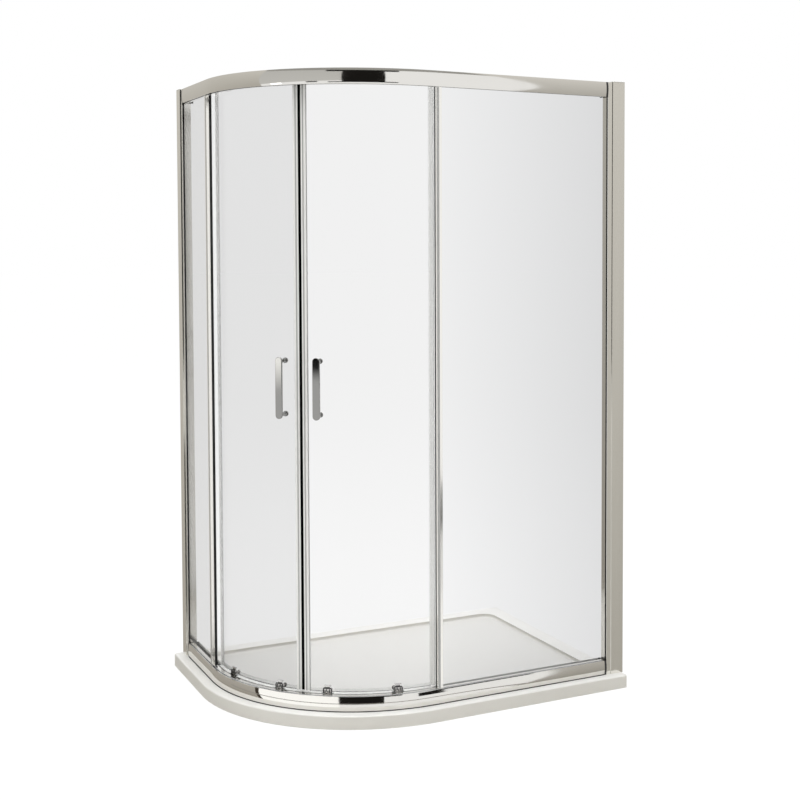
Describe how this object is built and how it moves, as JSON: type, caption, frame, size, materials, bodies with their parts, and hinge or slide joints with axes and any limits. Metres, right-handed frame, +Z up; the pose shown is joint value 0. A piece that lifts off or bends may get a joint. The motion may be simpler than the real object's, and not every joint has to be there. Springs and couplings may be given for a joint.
{
  "type": "quadrant shower enclosure",
  "caption": "Offset quadrant shower enclosure with curved sliding glass doors, chrome frame, bar handles and a slim white tray.",
  "frame": {"origin": "centre of the tray's underside", "axes": "+Z up, +X along the long side towards the side wall, +Y along the short side towards the back wall; the rounded corner is at -X, -Y"},
  "size_m": [1.2, 0.9, 1.893],
  "materials": {
    "tray": "gloss white cast stone resin with an acrylic cap",
    "chrome": "polished, chrome look",
    "carriage_chrome": "plated",
    "chrome_plastic": "plated plastic",
    "glass": "clear toughened glass",
    "black_plastic": "moulded",
    "steel": "stainless",
    "seal": "soft clear seal",
    "seal_profile": "grey satin extrusion",
    "magnet": "black magnet strip",
    "rubber": "moulded",
    "nylon": "smooth nylon"
  },
  "bodies": {
    "frame": {"shower_tray": "tray", "bottom_rail": "chrome", "top_rail": "chrome", "wall_profile_left": "chrome", "wall_profile_right": "chrome", "jamb_profile_left": "chrome", "jamb_profile_right": "chrome", "fixed_glass_left": "glass", "fixed_glass_right": "glass", "fixed_edge_profile_left": "chrome", "fixed_edge_profile_right": "chrome", "profile_caps": "chrome_plastic", "rail_end_blocks": "black_plastic", "rail_screws": "steel", "jamb_screws": "steel", "jamb_screw_covers": "chrome_plastic", "glass_gaskets": "rubber", "setting_blocks": "black_plastic", "fixed_edge_fins": "rubber", "door_stops": "rubber"},
    "door_left": {"door_glass_left": "glass", "leading_seal_left": "seal_profile", "magnet_strip_left": "magnet", "trailing_profile_left": "seal_profile", "trailing_fin_left": "seal", "drip_seal_left": "seal", "handle_left": "chrome", "handle_bolts_left": "steel", "handle_washers_left": "seal", "carriage_bolts_left": "steel", "top_carriages_left": "carriage_chrome", "foot_housings_left": "carriage_chrome", "foot_spring_left_rear": "steel", "foot_spring_left_front": "steel"},
    "top_wheel_left_rear": {"top_wheel_left_rear": "nylon"},
    "foot_wheel_left_rear": {"foot_wheel_left_rear": "nylon"},
    "foot_slider_left_rear": {"foot_slider_left_rear": "carriage_chrome"},
    "top_wheel_left_front": {"top_wheel_left_front": "nylon"},
    "foot_wheel_left_front": {"foot_wheel_left_front": "nylon"},
    "foot_slider_left_front": {"foot_slider_left_front": "carriage_chrome"},
    "door_right": {"door_glass_right": "glass", "leading_seal_right": "seal_profile", "magnet_strip_right": "magnet", "trailing_profile_right": "seal_profile", "trailing_fin_right": "seal", "drip_seal_right": "seal", "handle_right": "chrome", "handle_bolts_right": "steel", "handle_washers_right": "seal", "carriage_bolts_right": "steel", "top_carriages_right": "carriage_chrome", "foot_housings_right": "carriage_chrome", "foot_spring_right_rear": "steel", "foot_spring_right_front": "steel"},
    "top_wheel_right_rear": {"top_wheel_right_rear": "nylon"},
    "foot_wheel_right_rear": {"foot_wheel_right_rear": "nylon"},
    "foot_slider_right_rear": {"foot_slider_right_rear": "carriage_chrome"},
    "top_wheel_right_front": {"top_wheel_right_front": "nylon"},
    "foot_wheel_right_front": {"foot_wheel_right_front": "nylon"},
    "foot_slider_right_front": {"foot_slider_right_front": "carriage_chrome"}
  },
  "joints": [
    {"name": "door_left_slide", "type": "hinge", "parent": "frame", "child": "door_left", "pos_m": [0.0521, 0.1322, 0], "axis": [0, 0, -1], "range_deg": [0, 23]},
    {"name": "top_wheel_left_rear_spin", "type": "hinge", "parent": "door_left", "child": "top_wheel_left_rear", "pos_m": [-0.53418, -0.00292, 1.8593], "axis": [-0.9781, -0.2079, 0], "range_deg": [0, 1280]},
    {"name": "foot_wheel_left_rear_spin", "type": "hinge", "parent": "foot_slider_left_rear", "child": "foot_wheel_left_rear", "pos_m": [-0.53418, -0.00292, 0.0707], "axis": [-0.9781, -0.2079, 0], "range_deg": [-1280, 0]},
    {"name": "foot_release_left_rear", "type": "slide", "parent": "door_left", "child": "foot_slider_left_rear", "axis": [0, 0, -1], "range_m": [0, 0.005], "stiffness_N_per_m": 400, "springref_m": -0.005, "deforming": ["foot_spring_left_rear"]},
    {"name": "top_wheel_left_front_spin", "type": "hinge", "parent": "door_left", "child": "top_wheel_left_front", "pos_m": [-0.45046, -0.19095, 1.8593], "axis": [-0.809, -0.5878, 0], "range_deg": [0, 1270]},
    {"name": "foot_wheel_left_front_spin", "type": "hinge", "parent": "foot_slider_left_front", "child": "foot_wheel_left_front", "pos_m": [-0.45046, -0.19095, 0.0707], "axis": [-0.809, -0.5878, 0], "range_deg": [-1270, 0]},
    {"name": "foot_release_left_front", "type": "slide", "parent": "door_left", "child": "foot_slider_left_front", "axis": [0, 0, -1], "range_m": [0, 0.005], "stiffness_N_per_m": 400, "springref_m": -0.005, "deforming": ["foot_spring_left_front"]},
    {"name": "door_right_slide", "type": "hinge", "parent": "frame", "child": "door_right", "pos_m": [-0.0178, 0.2021, 0], "axis": [0, 0, 1], "range_deg": [0, 23]},
    {"name": "top_wheel_right_rear_spin", "type": "hinge", "parent": "door_right", "child": "top_wheel_right_rear", "pos_m": [-0.15292, -0.38418, 1.8593], "axis": [-0.2079, -0.9781, 0], "range_deg": [-1280, 0]},
    {"name": "foot_wheel_right_rear_spin", "type": "hinge", "parent": "foot_slider_right_rear", "child": "foot_wheel_right_rear", "pos_m": [-0.15292, -0.38418, 0.0707], "axis": [-0.2079, -0.9781, 0], "range_deg": [0, 1280]},
    {"name": "foot_release_right_rear", "type": "slide", "parent": "door_right", "child": "foot_slider_right_rear", "axis": [0, 0, -1], "range_m": [0, 0.005], "stiffness_N_per_m": 400, "springref_m": -0.005, "deforming": ["foot_spring_right_rear"]},
    {"name": "top_wheel_right_front_spin", "type": "hinge", "parent": "door_right", "child": "top_wheel_right_front", "pos_m": [-0.34095, -0.30046, 1.8593], "axis": [-0.5878, -0.809, 0], "range_deg": [-1270, 0]},
    {"name": "foot_wheel_right_front_spin", "type": "hinge", "parent": "foot_slider_right_front", "child": "foot_wheel_right_front", "pos_m": [-0.34095, -0.30046, 0.0707], "axis": [-0.5878, -0.809, 0], "range_deg": [0, 1270]},
    {"name": "foot_release_right_front", "type": "slide", "parent": "door_right", "child": "foot_slider_right_front", "axis": [0, 0, -1], "range_m": [0, 0.005], "stiffness_N_per_m": 400, "springref_m": -0.005, "deforming": ["foot_spring_right_front"]}
  ],
  "couplings": [
    {"joint": "top_wheel_left_rear_spin", "follows": "door_left_slide", "ratio": 54.696},
    {"joint": "foot_wheel_left_rear_spin", "follows": "door_left_slide", "ratio": -54.696},
    {"joint": "top_wheel_left_front_spin", "follows": "door_left_slide", "ratio": 54.318},
    {"joint": "foot_wheel_left_front_spin", "follows": "door_left_slide", "ratio": -54.318},
    {"joint": "top_wheel_right_rear_spin", "follows": "door_right_slide", "ratio": -54.696},
    {"joint": "foot_wheel_right_rear_spin", "follows": "door_right_slide", "ratio": 54.696},
    {"joint": "top_wheel_right_front_spin", "follows": "door_right_slide", "ratio": -54.318},
    {"joint": "foot_wheel_right_front_spin", "follows": "door_right_slide", "ratio": 54.318}
  ]
}
